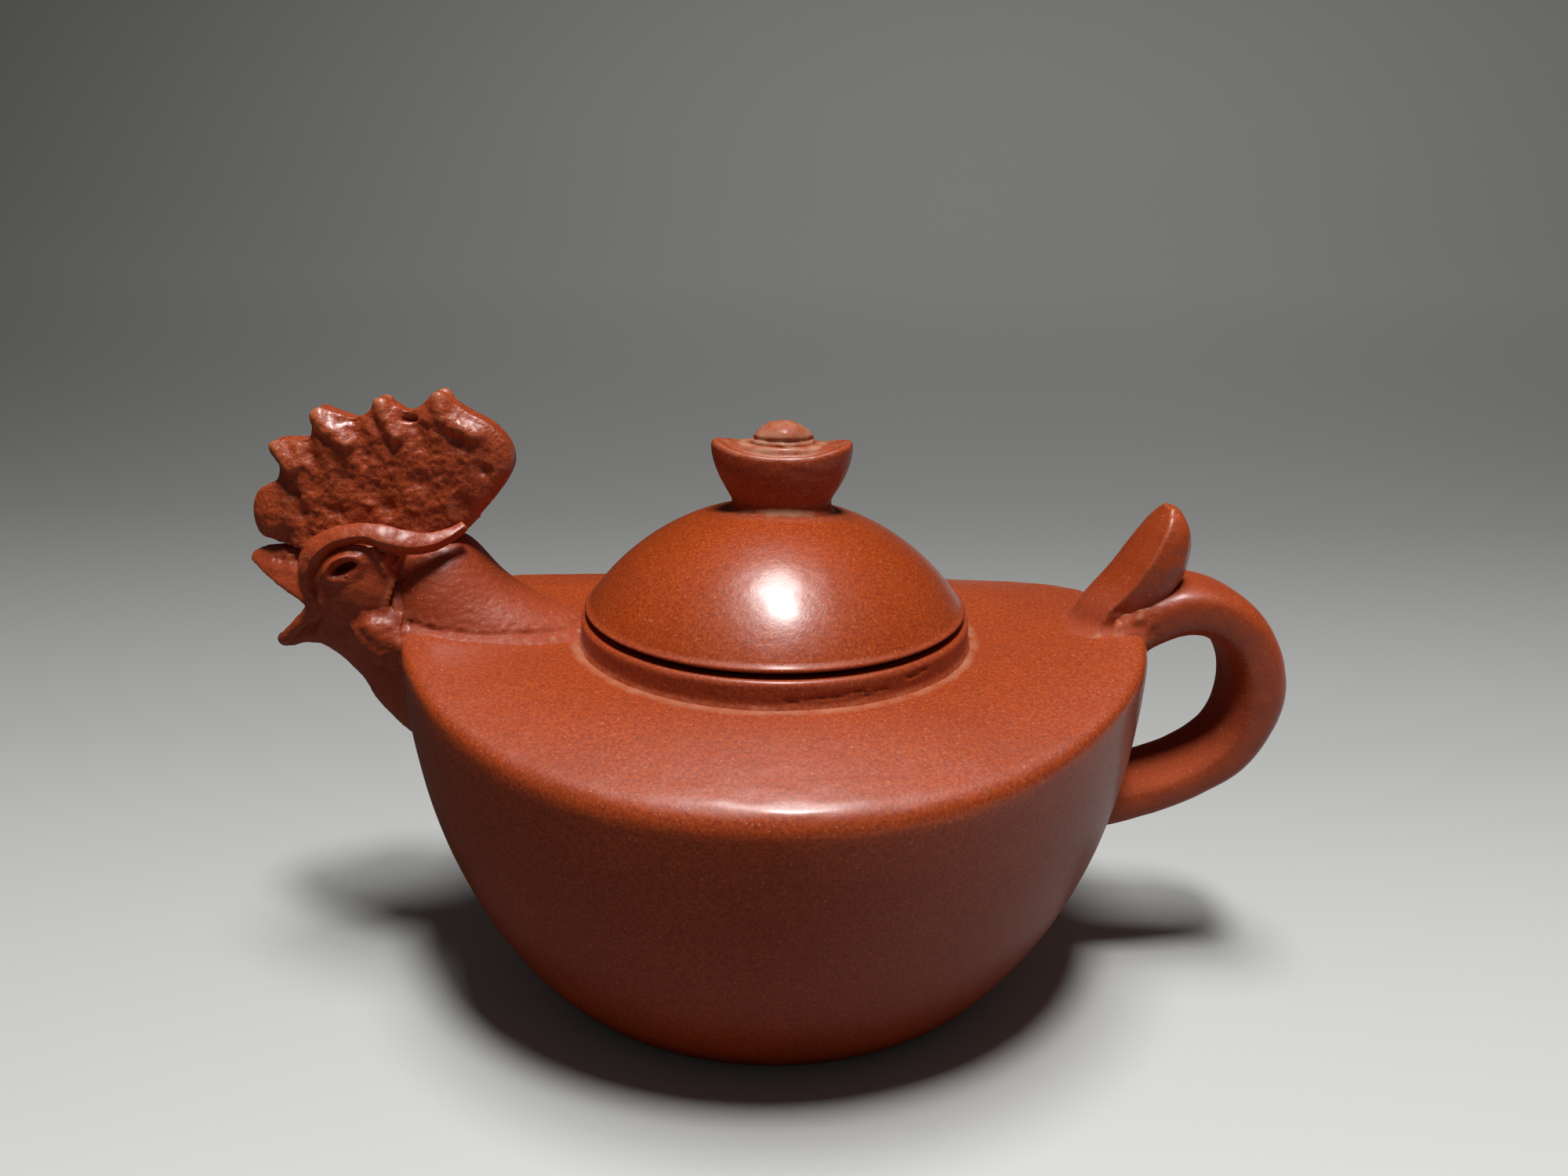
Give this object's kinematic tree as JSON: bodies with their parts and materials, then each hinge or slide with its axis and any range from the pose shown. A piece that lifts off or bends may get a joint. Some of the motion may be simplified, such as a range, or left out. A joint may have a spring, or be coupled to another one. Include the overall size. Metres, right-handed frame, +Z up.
{
  "type": "clay teapot",
  "caption": "Red clay teapot with a saddle-shaped shoulder, rooster-head spout, strap handle with feather thumb rest, and a lift-off domed lid with an ingot knob.",
  "frame": {"origin": "centre of the flat underside that the pot stands on", "axes": "+X towards the handle, with the spout along -X; +Y away from the side that the picture shows; +Z up"},
  "size_m": [0.1687, 0.103, 0.0974],
  "materials": {
    "burnished_body": "satin burnished red clay with fine pale sand specks",
    "burnished_lid": "satin burnished red clay, the smoothest part of the pot",
    "tooled_head": "matt red clay with tool marks",
    "hammered_comb": "pitted red clay with polished high spots",
    "handle_clay": "satin red clay",
    "inner_clay": "matt unburnished red clay"
  },
  "bodies": {
    "pot": {"body_wall": "burnished_body", "base_slab": "burnished_body", "shoulder_plate": "burnished_body", "collar": "burnished_body", "strainer": "inner_clay", "neck": "tooled_head", "head": "tooled_head", "upper_beak": "tooled_head", "lower_beak": "tooled_head", "comb": "hammered_comb", "brow_left": "tooled_head", "brow_right": "tooled_head", "eye_left": "tooled_head", "eye_right": "tooled_head", "wattle_left": "tooled_head", "wattle_right": "tooled_head", "handle": "handle_clay", "tail_feather": "handle_clay"},
    "lid": {"lid_dome": "burnished_lid", "lid_flange": "inner_clay", "knob_ingot": "burnished_lid", "knob_egg": "burnished_lid"}
  },
  "joints": [
    {"name": "lid_lift", "type": "slide", "parent": "pot", "child": "lid", "axis": [0, 0, 1], "range_m": [0, 0.05]}
  ]
}
